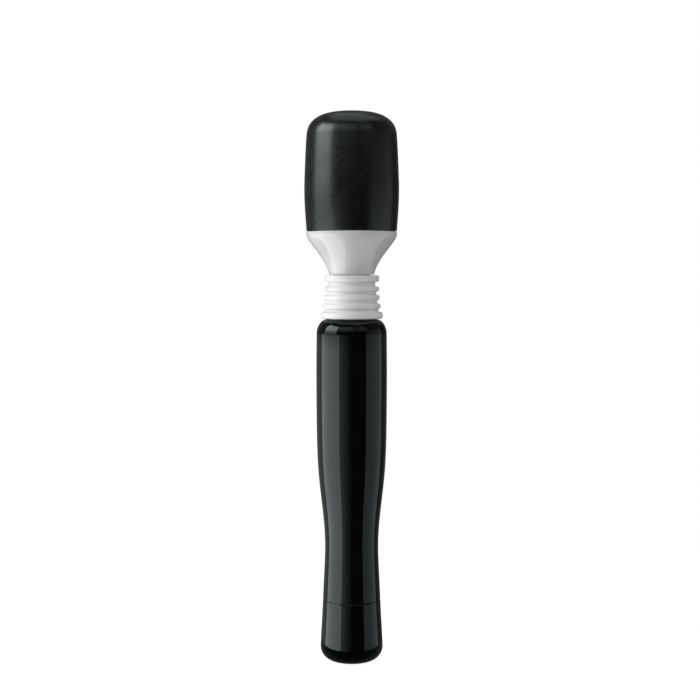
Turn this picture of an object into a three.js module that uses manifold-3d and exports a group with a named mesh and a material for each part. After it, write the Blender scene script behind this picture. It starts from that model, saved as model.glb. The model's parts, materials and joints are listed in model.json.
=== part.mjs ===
// A battery wand massager: a rigid handle that holds two AA cells in line, a twist dial on its foot
// that sets the speed, a ribbed flexible neck, and a soft-covered head with an off-balance motor.
// Millimetres, +Z up. The origin is the centre of the dial's flat foot, and the wand stands on it.

import * as THREE from "three";
import { mergeVertices } from "three/addons/utils/BufferGeometryUtils.js";
import Module from "manifold-3d";

const wasm = await Module();
wasm.setup();

// ---------------------------------------------------------------- driving dimensions

const OUTER_SIDES = 32; // facets round the casings
const INNER_SIDES = 24; // facets round the pieces inside
const SMALL_SIDES = 12; // facets round screws and shafts
const GAP = 0.3; // air between two pieces that touch on the real object

const FOOT_CORNER = 5.4;
const DIAL_RADIUS = 11.9;
const DIAL_TOP_RADIUS = 10.95;
const DIAL_TOP = 23.7;
const POST_SHOULDER = 6.2; // where the wiper sits on the dial's post
const SEAM = 0.4; // joint line between the dial and the handle

const HANDLE_BOTTOM = DIAL_TOP + SEAM;
const HANDLE_TOP = 130;
const SOCKET_RADIUS = 9.4; // takes the plug
const SOCKET_TOP = 31.6;
const MOUTH_RADIUS = 9.2; // takes the bellows' foot

const CELL_RADIUS = 7.25; // AA
const CELL_LENGTH = 50.5;
const CELL_BOTTOM = 19.1;
const CELLS_TOP = CELL_BOTTOM + 2 * CELL_LENGTH + GAP;
const BAY_RADIUS = CELL_RADIUS + 0.4;
const BAY_TOP = 124.6;

const PLUG_RADIUS = SOCKET_RADIUS - GAP;
const PLUG_FLOOR = 9;
const PLUG_SEAT = 11; // top of the floor, where the spring stands
const PLUG_TOP = 29.6;
const SEAL_HEIGHT = 27.6;

// The bellows: mid-heights, heights and radii of its ribs, from the handle up.
const RIB_CENTRES = [131.7, 134.95, 138.2, 141.45, 145.35];
const RIB_HEIGHTS = [2.3, 2, 2, 2, 2.5];
const RIB_RADII = [11.9, 11, 10.75, 10.65, 10.5];
const RIB_CREST = 0.8; // depth of a rib's rounded rim
const WEB_RADII = [10.1, 9.8, 9.5, 9.1]; // walls between the ribs
const BELLOWS_BORE = 7.5;
const MIDDLE_RIB = 2;

const CONE_FOOT = 146.8;
const CONE_LEDGE = 150.3; // holds the bellows' top flange
const CONE_SHELF = 160.1; // carries the motor's cradle
const LIP_RADIUS = 17.05;
const LIP_BORE = 15;
const LIP_TOP = 162.9;
const COVER_TOP = 207.8;
const SHELL_RADIUS = 15.1;
const SHELL_WALL = 1.5;
const SHELL_TOP = 204.3;

const FLANGE_BOTTOM = CONE_SHELF + GAP;
const FLANGE_TOP = FLANGE_BOTTOM + 1.5;
const MOTOR_RADIUS = 10;
const MOTOR_BOTTOM = FLANGE_TOP + GAP;
const CAN_BOTTOM = MOTOR_BOTTOM + 2.6;
const CAN_TOP = MOTOR_BOTTOM + 25;
const CAN_WALL = 0.8;
const SHAFT_RADIUS = 1;
const SHAFT_BORE = SHAFT_RADIUS + GAP;
const CORE_BOTTOM = 168.3; // armature and magnets
const CORE_TOP = 183.8;
const TERMINAL_OFFSET = 4;
const MOTOR_SCREW_OFFSET = 8;

// ---------------------------------------------------------------- materials

function plastic(color, roughness) {
  return new THREE.MeshStandardMaterial({ color, roughness, metalness: 0 });
}

function metal(color, roughness) {
  return new THREE.MeshStandardMaterial({ color, roughness, metalness: 1 });
}

const satinBlack = plastic(0x141617, 0.5);
const glossBlack = plastic(0x08090a, 0.12);
const glossWhite = plastic(0xe9eae8, 0.25);
const softWhite = plastic(0xe6e7e5, 0.35);
const nylon = plastic(0xd8d6cf, 0.6);
const sealRubber = plastic(0x1c1c1c, 0.8);
const redPlastic = plastic(0xa51c1c, 0.45);
const blackPlastic = plastic(0x161616, 0.45);
const boardGreen = plastic(0x1f5a3a, 0.5);
const cellJacket = plastic(0x39424a, 0.35);
const magnet = plastic(0x2c2c2e, 0.7);
const brass = metal(0xc9a24a, 0.3);
const steel = metal(0xb9bcc0, 0.35);
const springSteel = metal(0xa8abb0, 0.25);

// ---------------------------------------------------------------- solids

// A turned solid from an outline of [radius, height] points, which starts and ends on the axis
// or else closes on itself.
function turned(outline, sides = INNER_SIDES) {
  const area = outline.reduce((sum, [r, z], i) => {
    const [nextR, nextZ] = outline[(i + 1) % outline.length];
    return sum + r * nextZ - nextR * z;
  }, 0);
  const points = outline.map(([r, z]) => new THREE.Vector2(r, z));
  if (area < 0) points.reverse();
  const onAxis = points[0].x === 0 && points.at(-1).x === 0;
  if (!onAxis) points.push(points[0].clone());
  return new THREE.LatheGeometry(points, sides).rotateX(Math.PI / 2);
}

// A ring of rectangular section, or a disc where the inner radius is 0.
function ring(inner, outer, bottom, top, sides = INNER_SIDES) {
  return turned([[inner, bottom], [outer, bottom], [outer, top], [inner, top]], sides);
}

// Points of an ellipse's arc in an outline, from one angle to the other, in degrees.
function arc(centreR, centreZ, a, b, from, to, steps) {
  return Array.from({ length: steps + 1 }, (_, i) => {
    const t = THREE.MathUtils.degToRad(from + ((to - from) * i) / steps);
    return [centreR + a * Math.cos(t), centreZ + b * Math.sin(t)];
  });
}

// Points of a smooth curve through an outline's key points.
function smooth(keys, steps) {
  const curve = new THREE.SplineCurve(keys.map(([r, z]) => new THREE.Vector2(r, z)));
  return curve.getPoints(steps).map((p) => [p.x, p.y]);
}

// A block from its lowest to its highest corner.
function block(low, high) {
  const size = high.map((v, i) => v - low[i]);
  const centre = high.map((v, i) => (v + low[i]) / 2);
  return new THREE.BoxGeometry(...size).translate(...centre);
}

// A flat shape raised from one height to another.
function raised(shape, bottom, top) {
  const geometry = new THREE.ExtrudeGeometry(shape, {
    depth: top - bottom,
    bevelEnabled: false,
    curveSegments: 10,
  });
  return geometry.translate(0, 0, bottom);
}

// A round bar along a curve.
function bar(curve, radius, steps, sides) {
  const section = new THREE.Shape();
  for (let i = 0; i < sides; i++) {
    const t = (2 * Math.PI * i) / sides;
    section[i ? "lineTo" : "moveTo"](radius * Math.cos(t), radius * Math.sin(t));
  }
  return new THREE.ExtrudeGeometry(section, { steps, extrudePath: curve, bevelEnabled: false });
}

function toManifold(geometry) {
  const bare = geometry.clone();
  bare.deleteAttribute("normal");
  bare.deleteAttribute("uv");
  const merged = mergeVertices(bare, 1e-4);
  return new wasm.Manifold(
    new wasm.Mesh({
      numProp: 3,
      vertProperties: new Float32Array(merged.attributes.position.array),
      triVerts: new Uint32Array(merged.index.array),
    }),
  );
}

function toGeometry(manifold) {
  const made = manifold.getMesh();
  return new THREE.BufferGeometry()
    .setAttribute("position", new THREE.BufferAttribute(made.vertProperties, 3))
    .setIndex(new THREE.BufferAttribute(made.triVerts, 1));
}

function joined(first, ...others) {
  return toGeometry(others.reduce((sum, g) => sum.add(toManifold(g)), toManifold(first)));
}

function cut(body, ...tools) {
  return toGeometry(tools.reduce((rest, g) => rest.subtract(toManifold(g)), toManifold(body)));
}

function part(name, geometry, material) {
  const mesh = new THREE.Mesh(geometry, material);
  mesh.name = name;
  return mesh;
}

// A round rod or a drill, upright, at a place on the floor plan.
function rod(x, y, radius, bottom, top) {
  return ring(0, radius, bottom, top, SMALL_SIDES).translate(x, y, 0);
}

// ---------------------------------------------------------------- dial

// The cup that the hand twists, with a stepped post inside for the wiper and the pivot screw.
function dialCap() {
  const floor = 2.2;
  const shoulderRadius = 3.6;
  const spigotRadius = 2.4;
  const spigotTop = 8.4;
  const screwHole = 1.4;
  const holeBottom = 3.6;
  return turned(
    [
      [0, 0],
      ...arc(DIAL_RADIUS - FOOT_CORNER, FOOT_CORNER, FOOT_CORNER, FOOT_CORNER, -90, 0, 6),
      [DIAL_TOP_RADIUS, DIAL_TOP],
      [SOCKET_RADIUS, DIAL_TOP],
      [SOCKET_RADIUS, FOOT_CORNER],
      [SOCKET_RADIUS - 2.2, floor],
      [shoulderRadius, floor],
      [shoulderRadius, POST_SHOULDER],
      [spigotRadius, POST_SHOULDER],
      [spigotRadius, spigotTop],
      [screwHole, spigotTop],
      [screwHole, holeBottom],
      [0, holeBottom],
    ],
    OUTER_SIDES,
  );
}

// A brass collar on the post with one arm that sweeps the board's track.
function speedWiper() {
  const bottom = POST_SHOULDER + GAP;
  const top = bottom + 0.7;
  return joined(ring(2.7, 4, bottom, top), block([3.4, -1, bottom], [6.9, 1, top]));
}

// A pan-head screw through the plug's floor into the dial's post, head up.
function pivotScrew() {
  const seat = PLUG_SEAT + GAP;
  const head = seat + 1.3;
  return turned([[0, 4], [1.1, 4], [1.1, seat], [2.6, seat], [2.6, head], [0, head]], SMALL_SIDES);
}

// ---------------------------------------------------------------- plug and cells

const GROOVE_FLOOR = 8.35; // seat of the seal ring
const RING_LEAD = { from: 7.6, to: 7.85, halfWidth: 1.2 };
const KEY = { bottom: HANDLE_BOTTOM + 0.2, top: HANDLE_BOTTOM + 1.7, radius: 9.5, halfWidth: 1.5 };

// The cup that closes the battery bay. A groove holds its seal, a slot lets the contact ring's lead
// down to the board, and a key stops the cup from turning in the handle.
function batteryPlug() {
  const grooveHalf = 0.6;
  const screwHole = 1.5;
  const cup = turned(
    [
      [screwHole, PLUG_FLOOR],
      [PLUG_RADIUS, PLUG_FLOOR],
      [PLUG_RADIUS, SEAL_HEIGHT - grooveHalf],
      [GROOVE_FLOOR, SEAL_HEIGHT - grooveHalf],
      [GROOVE_FLOOR, SEAL_HEIGHT + grooveHalf],
      [PLUG_RADIUS, SEAL_HEIGHT + grooveHalf],
      [PLUG_RADIUS, PLUG_TOP],
      [BAY_RADIUS, PLUG_TOP],
      [BAY_RADIUS, PLUG_SEAT],
      [screwHole, PLUG_SEAT],
    ],
    OUTER_SIDES,
  );
  const key = block([-KEY.radius, -KEY.halfWidth, KEY.bottom], [-8.6, KEY.halfWidth, KEY.top]);
  const slotHalf = RING_LEAD.halfWidth + 0.2;
  const slot = block([7, -slotHalf, PLUG_FLOOR - 1], [RING_LEAD.to + 0.2, slotHalf, PLUG_TOP + 1]);
  return cut(joined(cup, key), slot);
}

function sealRing() {
  const middle = (GROOVE_FLOOR + SOCKET_RADIUS) / 2;
  const section = (SOCKET_RADIUS - GROOVE_FLOOR) / 2 - 0.15;
  return turned(arc(middle, SEAL_HEIGHT, section, section, 0, 315, 7), OUTER_SIDES);
}

// A brass ring on the plug's rim, with a lead down the plug's slot to the board.
function contactRing() {
  const { from, to, halfWidth } = RING_LEAD;
  const bottom = PLUG_TOP + GAP;
  const lead = block([from, -halfWidth, PLUG_FLOOR - 0.1], [to, halfWidth, bottom + 0.3]);
  return joined(ring(from, 8.9, bottom, bottom + 0.6, OUTER_SIDES), lead);
}

// A disc under the plug's floor that carries the resistor track.
function speedBoard() {
  const top = PLUG_FLOOR - GAP;
  return ring(2.8, 8.6, top - 1, top);
}

const SPRING_WIRE = 0.4; // radius

// A conical coil from the plug's floor up to the lower cell.
class CoilCurve extends THREE.Curve {
  getPoint(t, target = new THREE.Vector3()) {
    const radius = 6.1 - 3 * t;
    const angle = 8 * Math.PI * t;
    const bottom = PLUG_SEAT + GAP + SPRING_WIRE;
    const top = CELL_BOTTOM - GAP - SPRING_WIRE;
    return target.set(radius * Math.cos(angle), radius * Math.sin(angle), bottom + (top - bottom) * t);
  }
}

function contactSpring() {
  return bar(new CoilCurve(), SPRING_WIRE, 60, 6);
}

// One AA cell: a can with a raised disc at its foot and a button on top.
function cell(bottom) {
  const button = 2.75;
  const shoulder = bottom + CELL_LENGTH - 1;
  return turned([
    [0, bottom],
    [4.5, bottom],
    [4.7, bottom + 0.3],
    [CELL_RADIUS - 0.3, bottom + 0.3],
    [CELL_RADIUS, bottom + 0.7],
    [CELL_RADIUS, shoulder - 0.5],
    [CELL_RADIUS - 0.5, shoulder],
    [button, shoulder],
    [button, bottom + CELL_LENGTH],
    [0, bottom + CELL_LENGTH],
  ]);
}

// ---------------------------------------------------------------- handle

const STRIP = { from: 7.95, to: 8.35, halfWidth: 2, foldBottom: 123.7, thickness: 0.4 };
const STEM_TOP = 125.2; // solder end of the positive contact

// The handle's outside, from its foot over the waist and the swell to the shoulder.
function handleOutline() {
  const side = smooth(
    [[10.93, HANDLE_BOTTOM], [10.12, 44], [10.8, 55.5], [12, 65.5], [13, 79], [13.33, 97], [13.37, 112]],
    15,
  );
  return [...side, ...arc(9.4, 124.4, 3.85, HANDLE_TOP - 124.4, 0, 90, 5)];
}

// A one-piece tube: a socket for the plug, the battery bay, a ledge for the contact carrier,
// a groove that holds the bellows' flange, and the mouth that the bellows comes out of.
function handleShell() {
  const bulkheadHole = 6.6;
  const bulkheadTop = 125.8;
  const grooveRadius = 10.6;
  const grooveTop = 127.8;
  const tube = turned(
    [
      ...handleOutline(),
      [MOUTH_RADIUS, HANDLE_TOP],
      [MOUTH_RADIUS, grooveTop],
      [grooveRadius, grooveTop],
      [grooveRadius, bulkheadTop],
      [bulkheadHole, bulkheadTop],
      [bulkheadHole, BAY_TOP],
      [BAY_RADIUS, BAY_TOP],
      [BAY_RADIUS, SOCKET_TOP],
      [SOCKET_RADIUS, SOCKET_TOP],
      [SOCKET_RADIUS, HANDLE_BOTTOM],
    ],
    OUTER_SIDES,
  );
  const slotHalf = STRIP.halfWidth + GAP;
  const slot = block([6.9, -slotHalf, SOCKET_TOP - 0.5], [STRIP.to + GAP, slotHalf, BAY_TOP]);
  const keyHalf = KEY.halfWidth + GAP;
  const keyway = block([-KEY.radius - GAP, -keyHalf, HANDLE_BOTTOM - 1], [-9, keyHalf, KEY.top + GAP]);
  return cut(tube, slot, keyway);
}

// An insulating disc at the top of the bay, notched for the strip's folded end.
function contactCarrier() {
  const disc = ring(1.5, BAY_RADIUS - 0.35, CELLS_TOP + 1.2, BAY_TOP - GAP);
  const notchHalf = STRIP.halfWidth + GAP;
  return cut(disc, block([3.6, -notchHalf, STRIP.foldBottom - GAP], [9, notchHalf, BAY_TOP + 1]));
}

// A brass rivet: a wide face to the upper cell and a stem through the carrier.
function positiveContact() {
  const face = CELLS_TOP + GAP;
  const stem = 1.2;
  return turned(
    [[0, face], [4.5, face], [4.5, face + 0.5], [stem, face + 0.5], [stem, STEM_TOP], [0, STEM_TOP]],
    SMALL_SIDES,
  );
}

// The brass return strip: a foot on the contact ring, a run up the bay and a folded top.
function returnStrip() {
  const { from, to, halfWidth, foldBottom, thickness } = STRIP;
  const foot = PLUG_TOP + GAP + 0.6 + GAP;
  return joined(
    block([from, -halfWidth, foot], [to, halfWidth, foldBottom + thickness]),
    block([from, -halfWidth, foot], [8.9, halfWidth, foot + thickness]),
    block([TERMINAL_OFFSET, -halfWidth, foldBottom], [to, halfWidth, foldBottom + thickness]),
  );
}

// ---------------------------------------------------------------- bellows

function ribBottom(i) {
  return RIB_CENTRES[i] - RIB_HEIGHTS[i] / 2;
}

function ribTop(i) {
  return RIB_CENTRES[i] + RIB_HEIGHTS[i] / 2;
}

// The rounded rim of a rib, from its underside to its upper side.
function ribRim(i) {
  return arc(RIB_RADII[i] - RIB_CREST, RIB_CENTRES[i], RIB_CREST, RIB_HEIGHTS[i] / 2, -90, 90, 4);
}

// The outside from one rib's underside to another's upper side, with the walls between them.
function ribs(first, last) {
  const outline = [...ribRim(first)];
  for (let i = first + 1; i <= last; i++) {
    const web = WEB_RADII[i - 1];
    outline.push([web, ribTop(i - 1)], [web, ribBottom(i)], ...ribRim(i));
  }
  return outline;
}

// The lower half of the bellows, with the tube and flange that the handle grips.
function bellowsLower() {
  const flange = { radius: 10.3, bottom: 126.1, top: 127.5 };
  const tube = 8.9;
  const web = WEB_RADII[MIDDLE_RIB - 1];
  const top = ribBottom(MIDDLE_RIB) - GAP;
  return turned(
    [
      [BELLOWS_BORE, flange.bottom],
      [flange.radius, flange.bottom],
      [flange.radius, flange.top],
      [tube, flange.top],
      [tube, ribBottom(0)],
      ...ribs(0, MIDDLE_RIB - 1),
      [web, ribTop(MIDDLE_RIB - 1)],
      [web, top],
      [BELLOWS_BORE, top],
    ],
    OUTER_SIDES,
  );
}

// The middle rib, between the bellows' two bending halves.
function bellowsMiddle() {
  const bottom = [BELLOWS_BORE, ribBottom(MIDDLE_RIB)];
  const top = [BELLOWS_BORE, ribTop(MIDDLE_RIB)];
  return turned([bottom, ...ribRim(MIDDLE_RIB), top], OUTER_SIDES);
}

// The upper half of the bellows, with a collar and flange that hook behind the cone's ledge.
function bellowsUpper() {
  const collar = 6.9;
  const bore = 5.6;
  const flangeRadius = 8;
  const flangeBottom = CONE_LEDGE + GAP;
  const flangeTop = flangeBottom + 1;
  const last = RIB_CENTRES.length - 1;
  const roof = ribTop(last) - 0.5;
  const web = WEB_RADII[MIDDLE_RIB];
  const bottom = ribTop(MIDDLE_RIB) + GAP;
  return turned(
    [
      [BELLOWS_BORE, bottom],
      [web, bottom],
      [web, ribBottom(MIDDLE_RIB + 1)],
      ...ribs(MIDDLE_RIB + 1, last),
      [collar, ribTop(last)],
      [collar, flangeBottom],
      [flangeRadius, flangeBottom],
      [flangeRadius, flangeTop],
      [bore, flangeTop],
      [bore, roof],
      [BELLOWS_BORE, roof],
    ],
    OUTER_SIDES,
  );
}

// A motor lead from the top of the bay, up through the bellows, to a terminal. It is slack.
function motorLead(side) {
  const start = side < 0 ? [0, 0, STEM_TOP + GAP] : [4.6, 0, 124.5];
  const route = [
    start,
    [side * 1.6, 0.4 * side, 131.8],
    [side * 1.2, -0.5 * side, 138.8],
    [side * 1.8, 0.4 * side, 146.8],
    [side * TERMINAL_OFFSET, 0, 153.3],
    [side * TERMINAL_OFFSET, 0, 157.6],
  ];
  const curve = new THREE.CatmullRomCurve3(route.map((p) => new THREE.Vector3(...p)));
  return bar(curve, 0.6, 16, 8);
}

// ---------------------------------------------------------------- head

// The flared cup under the head, with a ledge for the bellows and a shelf for the motor.
function neckCone() {
  const throat = 7.2;
  const well = 10.6;
  return turned(
    [
      [throat, CONE_FOOT],
      ...smooth(
        [[8.55, CONE_FOOT], [8.95, 148.6], [10.05, 150.9], [11.95, 153.9], [14.15, 156.9], [16.3, 159.9]],
        8,
      ),
      [16.85, 161],
      [LIP_RADIUS, 162],
      [LIP_RADIUS, LIP_TOP],
      [LIP_BORE, LIP_TOP],
      [LIP_BORE, CONE_SHELF],
      [well, CONE_SHELF],
      [well, 156.8],
      [8.3, 152.2],
      [8.3, CONE_LEDGE],
      [throat, CONE_LEDGE],
    ],
    OUTER_SIDES,
  );
}

// The stiff inner cup that carries the soft cover. Its skirt stands in the cone's lip.
function headShell() {
  const skirt = LIP_BORE - GAP;
  const step = LIP_TOP + GAP;
  const inner = SHELL_RADIUS - SHELL_WALL;
  const corner = 6;
  const innerCorner = corner - SHELL_WALL;
  return turned(
    [
      [skirt, FLANGE_TOP + GAP],
      [skirt, step],
      [SHELL_RADIUS, step],
      ...arc(SHELL_RADIUS - corner, SHELL_TOP - corner, corner, corner, 0, 90, 4),
      [0, SHELL_TOP],
      [0, SHELL_TOP - SHELL_WALL],
      ...arc(SHELL_RADIUS - corner, SHELL_TOP - corner, innerCorner, innerCorner, 90, 0, 4),
      [inner, FLANGE_TOP + GAP],
    ],
    INNER_SIDES,
  );
}

// The soft cover: a barrel-shaped cap with a broad round edge and a nearly flat crown.
function headCover() {
  const bottom = LIP_TOP + GAP;
  const bore = SHELL_RADIUS + 2 * GAP;
  const ceiling = SHELL_TOP + GAP;
  return turned(
    [
      [bore, bottom],
      ...smooth([[17.03, bottom], [17.59, 170.9], [17.83, 178.4], [17.6, 187], [17.05, 198]], 7),
      ...smooth([[16.9, 199.6], [16.3, 201.8], [14.4, 204.5], [11.7, 206.4], [8.5, COVER_TOP - 0.4]], 5),
      [0, COVER_TOP],
      [0, ceiling],
      ...arc(bore - 6, ceiling - 6, 6, 6, 90, 0, 4),
    ],
    OUTER_SIDES,
  );
}

// ---------------------------------------------------------------- motor

// A flanged cup that holds the motor upright on the cone's shelf, with two screw holes.
function motorCradle() {
  const inner = MOTOR_RADIUS + GAP;
  const outer = inner + 0.9;
  const wellHole = 6;
  const wallTop = 173.8;
  const cup = turned([
    [wellHole, FLANGE_BOTTOM],
    [LIP_BORE - GAP, FLANGE_BOTTOM],
    [LIP_BORE - GAP, FLANGE_TOP],
    [outer, FLANGE_TOP],
    [outer, wallTop],
    [inner, wallTop],
    [inner, FLANGE_TOP],
    [wellHole, FLANGE_TOP],
  ]);
  const holes = [-1, 1].map((side) => {
    return rod(0, side * MOTOR_SCREW_OFFSET, 1.1, FLANGE_BOTTOM - 1, FLANGE_TOP + 1);
  });
  return cut(cup, ...holes);
}

// A screw from below, through the cradle's flange into the motor's end bell.
function motorScrew(side) {
  const seat = FLANGE_BOTTOM - GAP;
  const tip = MOTOR_BOTTOM + 1.6;
  const profile = [[0, seat - 1.1], [1.5, seat - 1.1], [1.5, seat], [0.8, seat], [0.8, tip], [0, tip]];
  return turned(profile, SMALL_SIDES).translate(0, side * MOTOR_SCREW_OFFSET, 0);
}

// The plastic end bell, with the lower bearing and two blind screw holes.
function motorEndBell() {
  const top = CAN_BOTTOM - GAP;
  const boss = top + 1.2;
  const bearingFloor = top - 0.8;
  const bell = turned([
    [0, MOTOR_BOTTOM],
    [MOTOR_RADIUS - GAP, MOTOR_BOTTOM],
    [MOTOR_RADIUS - GAP, top],
    [2.6, top],
    [2.6, boss],
    [SHAFT_BORE, boss],
    [SHAFT_BORE, bearingFloor],
    [0, bearingFloor],
  ]);
  const holes = [-1, 1].map((side) => {
    return rod(0, side * MOTOR_SCREW_OFFSET, 1.1, MOTOR_BOTTOM - 1, MOTOR_BOTTOM + 1.9);
  });
  return cut(bell, ...holes);
}

// The motor's steel can, with the upper bearing.
function motorCan() {
  const inner = MOTOR_RADIUS - CAN_WALL;
  const bearingRadius = 3;
  const bearingTop = CAN_TOP + 1.5;
  return turned([
    [inner, CAN_BOTTOM],
    [MOTOR_RADIUS, CAN_BOTTOM],
    [MOTOR_RADIUS, CAN_TOP - CAN_WALL],
    [MOTOR_RADIUS - CAN_WALL, CAN_TOP],
    [bearingRadius, CAN_TOP],
    [bearingRadius, bearingTop],
    [SHAFT_BORE, bearingTop],
    [SHAFT_BORE, CAN_TOP - CAN_WALL],
    [inner, CAN_TOP - CAN_WALL],
  ]);
}

// One of the two curved magnets in the can.
function motorMagnet(side) {
  const outer = MOTOR_RADIUS - CAN_WALL - GAP;
  const inner = outer - 1.5;
  const half = THREE.MathUtils.degToRad(62);
  const middle = side < 0 ? Math.PI : 0;
  const shape = new THREE.Shape();
  shape.absarc(0, 0, outer, middle - half, middle + half, false);
  shape.absarc(0, 0, inner, middle + half, middle - half, true);
  return raised(shape, CORE_BOTTOM, CORE_TOP);
}

// A tab that a lead is soldered to.
function motorTerminal(side) {
  const x = side * TERMINAL_OFFSET;
  return block([x - 0.25, -1.2, 157.9], [x + 0.25, 1.2, MOTOR_BOTTOM - GAP]);
}

// A blade that stands on the end bell and bears on the commutator.
function motorBrush(side) {
  const post = block([3.75, -0.8, CAN_BOTTOM], [4.25, 0.8, 167.2]);
  const finger = block([2.5, -0.8, 166.7], [4.25, 0.8, 167.2]);
  return joined(post, finger).rotateZ(side < 0 ? Math.PI : 0);
}

// The three-pole armature.
function motorArmature() {
  const half = THREE.MathUtils.degToRad(48);
  const poles = [0, 120, 240].flatMap((angle) => {
    const turn = THREE.MathUtils.degToRad(angle);
    const shoe = new THREE.Shape();
    shoe.absarc(0, 0, 7, -half, half, false);
    shoe.absarc(0, 0, 5.8, half, -half, true);
    return [
      block([2.8, -1.3, CORE_BOTTOM], [6.1, 1.3, CORE_TOP]).rotateZ(turn),
      raised(shoe, CORE_BOTTOM, CORE_TOP).rotateZ(turn),
    ];
  });
  return joined(ring(SHAFT_BORE, 3.4, CORE_BOTTOM, CORE_TOP), ...poles);
}

// A half-round weight clamped on the shaft, which shakes the head as it spins.
function eccentricWeight() {
  const hub = 3;
  const shape = new THREE.Shape();
  shape.absarc(0, 0, 8.6, 0, Math.PI, false);
  shape.lineTo(-hub, 0);
  shape.absarc(0, 0, hub, Math.PI, 2 * Math.PI, false);
  const hole = new THREE.Path();
  hole.absarc(0, 0, SHAFT_BORE, 0, 2 * Math.PI, true);
  shape.holes.push(hole);
  return raised(shape, 190, 196.8);
}

// ---------------------------------------------------------------- assembly

const dial = new THREE.Group().add(
  part("dial_cap", dialCap(), glossBlack),
  part("speed_wiper", speedWiper(), brass),
  part("pivot_screw", pivotScrew(), steel),
);

const plug = new THREE.Group().add(
  part("battery_plug", batteryPlug(), blackPlastic),
  part("plug_seal_ring", sealRing(), sealRubber),
  part("plug_contact_ring", contactRing(), brass),
  part("speed_board", speedBoard(), boardGreen),
  part("contact_spring", contactSpring(), springSteel),
  part("battery_lower", cell(CELL_BOTTOM), cellJacket),
  part("battery_upper", cell(CELL_BOTTOM + CELL_LENGTH + GAP), cellJacket),
);

const handle = new THREE.Group().add(
  part("handle_shell", handleShell(), glossBlack),
  part("contact_carrier", contactCarrier(), nylon),
  part("positive_contact", positiveContact(), brass),
  part("return_strip", returnStrip(), brass),
);

const bellows = new THREE.Group().add(
  part("bellows_lower", bellowsLower(), softWhite),
  part("bellows_middle", bellowsMiddle(), softWhite),
  part("bellows_upper", bellowsUpper(), softWhite),
);

const leads = new THREE.Group().add(
  part("motor_lead_red", motorLead(-1), redPlastic),
  part("motor_lead_black", motorLead(1), blackPlastic),
);

const head = new THREE.Group().add(
  part("neck_cone", neckCone(), glossWhite),
  part("head_shell", headShell(), nylon),
  part("head_cover", headCover(), satinBlack),
  part("motor_cradle", motorCradle(), nylon),
  part("motor_end_bell", motorEndBell(), blackPlastic),
  part("motor_can", motorCan(), steel),
);
for (const [side, name] of [[-1, "left"], [1, "right"]]) {
  head.add(
    part(`motor_magnet_${name}`, motorMagnet(side), magnet),
    part(`motor_terminal_${name}`, motorTerminal(side), brass),
    part(`motor_brush_${name}`, motorBrush(side), brass),
  );
}
head.add(part("motor_screw_front", motorScrew(-1), steel), part("motor_screw_back", motorScrew(1), steel));

const rotor = new THREE.Group().add(
  part("motor_shaft", rod(0, 0, SHAFT_RADIUS, 164.1, 198.8), steel),
  part("motor_commutator", ring(SHAFT_BORE, 2.2, 166, 168, SMALL_SIDES), brass),
  part("motor_armature", motorArmature(), steel),
  part("eccentric_weight", eccentricWeight(), brass),
);

const wand = new THREE.Group().add(dial, plug, handle, bellows, leads, head, rotor);

export default wand;
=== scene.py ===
"""A battery wand massager on a pale floor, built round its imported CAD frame.

The origin is the middle of its flat foot, +Z is up, and the camera stands on the -Y side. Outlines
are lists of (radius, height) points in millimetres. Blender's objects are in metres.
"""

import json
import math

import bmesh
import bpy
import numpy as np
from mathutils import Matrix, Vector


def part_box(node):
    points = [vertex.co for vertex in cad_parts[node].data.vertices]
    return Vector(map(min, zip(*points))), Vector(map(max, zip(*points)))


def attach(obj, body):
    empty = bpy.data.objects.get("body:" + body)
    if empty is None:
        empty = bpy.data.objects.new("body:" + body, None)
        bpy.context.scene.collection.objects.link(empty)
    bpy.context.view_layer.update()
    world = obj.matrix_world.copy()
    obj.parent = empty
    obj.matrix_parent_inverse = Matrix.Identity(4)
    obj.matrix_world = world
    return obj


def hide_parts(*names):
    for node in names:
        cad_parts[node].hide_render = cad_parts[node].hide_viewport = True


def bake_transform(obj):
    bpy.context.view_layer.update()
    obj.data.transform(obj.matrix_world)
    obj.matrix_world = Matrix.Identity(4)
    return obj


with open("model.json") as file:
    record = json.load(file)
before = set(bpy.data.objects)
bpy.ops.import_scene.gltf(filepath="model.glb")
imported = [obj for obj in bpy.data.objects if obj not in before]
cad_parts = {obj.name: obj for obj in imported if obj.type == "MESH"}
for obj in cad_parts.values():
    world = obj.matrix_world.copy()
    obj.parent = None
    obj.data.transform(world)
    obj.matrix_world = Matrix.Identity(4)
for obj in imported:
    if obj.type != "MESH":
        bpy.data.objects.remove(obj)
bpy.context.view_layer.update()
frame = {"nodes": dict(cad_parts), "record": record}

MM = 0.001
OUTER_SIDES = 144  # facets round the casings
INNER_SIDES = 96  # facets round the cells
CREASE = math.radians(40)  # a sharper corner than this keeps its edge
CAD_CREASE = math.radians(32)  # the same on the CAD's own faceted solids


# ---------------------------------------------------------------- sizes from the frame, in millimetres

# They are rounded to a hundredth, because the meshes hold 32-bit numbers.


def bottom(node):
    """The lowest height of a CAD node at rest."""
    return round(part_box(node)[0][2] / MM, 2)


def top(node):
    """The highest height of a CAD node at rest."""
    return round(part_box(node)[1][2] / MM, 2)


def radius(node):
    """The largest radius of a round CAD node."""
    return round(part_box(node)[1][0] / MM, 2)


# ---------------------------------------------------------------- outlines, in millimetres


def arc(centre_r, centre_z, a, b, start, end, steps):
    """Points of an arc of the ellipse with half axes a and b, between two angles in degrees."""
    angles = np.radians(np.linspace(start, end, steps + 1))
    return [(centre_r + a * math.cos(t), centre_z + b * math.sin(t)) for t in angles]


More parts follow.
